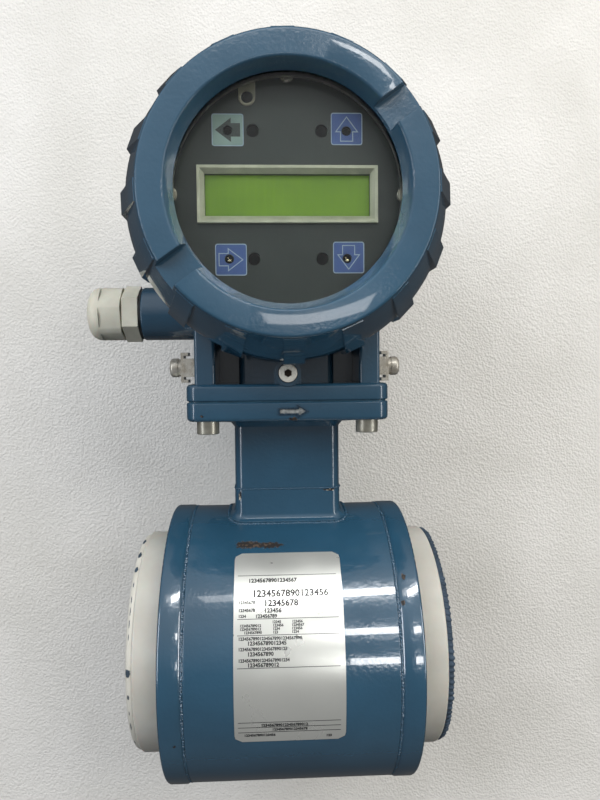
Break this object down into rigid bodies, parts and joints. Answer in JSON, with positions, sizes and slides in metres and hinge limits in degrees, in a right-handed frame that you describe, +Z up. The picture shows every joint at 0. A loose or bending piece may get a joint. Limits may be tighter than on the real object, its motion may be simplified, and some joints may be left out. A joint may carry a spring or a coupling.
{
  "type": "electromagnetic flow meter",
  "caption": "Wafer-style electromagnetic flow meter: short lined measuring tube, neck, and a round transmitter head with a glazed display cover and a side cable gland.",
  "frame": {"origin": "centre of the bore, midway between the two sealing faces", "axes": "+X along the bore in the flow direction, +Y from the display side to the rear cover, +Z up the neck to the transmitter"},
  "size_m": [0.1689, 0.18, 0.3357],
  "materials": {
    "blue_paint": "glossy blue enamel with a light orange-peel surface",
    "ptfe": "smooth off-white fluoropolymer, slightly stained",
    "end_ring": "dark blue-grey elastomer",
    "inner_steel": "plain machined steel",
    "coil_wire": "enamelled copper wire, wound and taped",
    "insulator": "plain moulded insulator",
    "gasket_rubber": "black rubber",
    "sight_glass": "clear flat glass",
    "dull_steel": "weathered stainless steel",
    "bright_steel": "bright nickel plating",
    "gland_plastic": "ivory-grey moulded nylon",
    "display_face": "dark grey printed face plate",
    "bezel_steel": "brushed steel",
    "lcd_green": "yellow-green display glass",
    "circuit_board": "green circuit board",
    "potting": "black potted plastic",
    "terminal_plastic": "black moulded plastic"
  },
  "bodies": {
    "meter": {"body_shell": "blue_paint", "neck_stub": "blue_paint", "adapter_flange": "blue_paint", "transmitter_housing": "blue_paint", "ptfe_liner": "ptfe", "inlet_end_ring": "end_ring", "outlet_end_ring": "end_ring", "flow_pipe": "inner_steel", "magnet_yoke": "inner_steel", "upper_pole_piece": "inner_steel", "lower_pole_piece": "inner_steel", "front_electrode": "inner_steel", "rear_electrode": "inner_steel", "upper_coil": "coil_wire", "lower_coil": "coil_wire", "front_electrode_bush": "insulator", "rear_electrode_bush": "insulator", "base_gasket": "gasket_rubber", "gland_washer": "gasket_rubber", "front_left_mounting_screw": "dull_steel", "front_right_mounting_screw": "dull_steel", "rear_left_mounting_screw": "dull_steel", "rear_right_mounting_screw": "dull_steel", "left_earth_clamp": "bright_steel", "right_earth_clamp": "bright_steel", "display_screws": "bright_steel", "terminal_screws": "bright_steel", "gland_body": "gland_plastic", "display_panel": "display_face", "lcd_bezel": "bezel_steel", "lcd_module": "lcd_green", "display_board": "circuit_board", "electronics_module": "potting", "terminal_block": "terminal_plastic"},
    "front_seal": {"front_o_ring": "gasket_rubber"},
    "front_cover": {"front_cover": "blue_paint", "sight_glass": "sight_glass", "glass_gasket": "gasket_rubber", "glass_retainer": "dull_steel"},
    "rear_seal": {"rear_o_ring": "gasket_rubber"},
    "rear_cover": {"rear_cover": "blue_paint"},
    "gland_seal": {"gland_seal": "gasket_rubber"},
    "gland_nut": {"gland_nut": "gland_plastic"},
    "front_jam_screw": {"front_jam_screw": "bright_steel"},
    "rear_jam_screw": {"rear_jam_screw": "bright_steel"},
    "left_earth_washers": {"left_earth_saddle": "bright_steel", "left_spring_washer": "bright_steel"},
    "left_earth_screw": {"left_earth_screw": "bright_steel"},
    "right_earth_washers": {"right_earth_saddle": "bright_steel", "right_spring_washer": "bright_steel"},
    "right_earth_screw": {"right_earth_screw": "bright_steel"}
  },
  "joints": [
    {"name": "front_cover_advance", "type": "slide", "parent": "meter", "child": "front_seal", "axis": [0, -1, 0], "range_m": [0, 0.0161]},
    {"name": "front_cover_turn", "type": "hinge", "parent": "front_seal", "child": "front_cover", "pos_m": [0, -0.07, 0.2036], "axis": [0, -1, 0], "range_deg": [0, 2880]},
    {"name": "rear_cover_advance", "type": "slide", "parent": "meter", "child": "rear_seal", "axis": [0, 1, 0], "range_m": [0, 0.0161]},
    {"name": "rear_cover_turn", "type": "hinge", "parent": "rear_seal", "child": "rear_cover", "pos_m": [0, 0.07, 0.2036], "axis": [0, 1, 0], "range_deg": [0, 2880]},
    {"name": "gland_nut_advance", "type": "slide", "parent": "meter", "child": "gland_seal", "axis": [-1, 0, 0], "range_m": [0, 0.0061]},
    {"name": "gland_nut_turn", "type": "hinge", "parent": "gland_seal", "child": "gland_nut", "pos_m": [-0.085, 0, 0.164], "axis": [-1, 0, 0], "range_deg": [0, 1440]},
    {"name": "front_jam_screw_travel", "type": "slide", "parent": "meter", "child": "front_jam_screw", "axis": [0, -1, 0], "range_m": [0, 0.002]},
    {"name": "rear_jam_screw_travel", "type": "slide", "parent": "meter", "child": "rear_jam_screw", "axis": [0, 1, 0], "range_m": [0, 0.002]},
    {"name": "left_earth_clamp_open", "type": "slide", "parent": "meter", "child": "left_earth_washers", "axis": [-1, 0, 0], "range_m": [0, 0.003]},
    {"name": "left_earth_screw_turn", "type": "hinge", "parent": "left_earth_washers", "child": "left_earth_screw", "pos_m": [-0.05, 0.004, 0.137], "axis": [-1, 0, 0], "range_deg": [0, 1350]},
    {"name": "right_earth_clamp_open", "type": "slide", "parent": "meter", "child": "right_earth_washers", "axis": [1, 0, 0], "range_m": [0, 0.003]},
    {"name": "right_earth_screw_turn", "type": "hinge", "parent": "right_earth_washers", "child": "right_earth_screw", "pos_m": [0.05, 0.004, 0.137], "axis": [1, 0, 0], "range_deg": [0, 1350]}
  ],
  "couplings": [
    {"joint": "front_cover_advance", "follows": "front_cover_turn", "m_per_rad": 0.00031831},
    {"joint": "rear_cover_advance", "follows": "rear_cover_turn", "m_per_rad": 0.00031831},
    {"joint": "gland_nut_advance", "follows": "gland_nut_turn", "m_per_rad": 0.00023873},
    {"joint": "left_earth_screw_turn", "follows": "left_earth_clamp_open", "rad_per_m": 7854.2},
    {"joint": "right_earth_screw_turn", "follows": "right_earth_clamp_open", "rad_per_m": 7854.2}
  ]
}
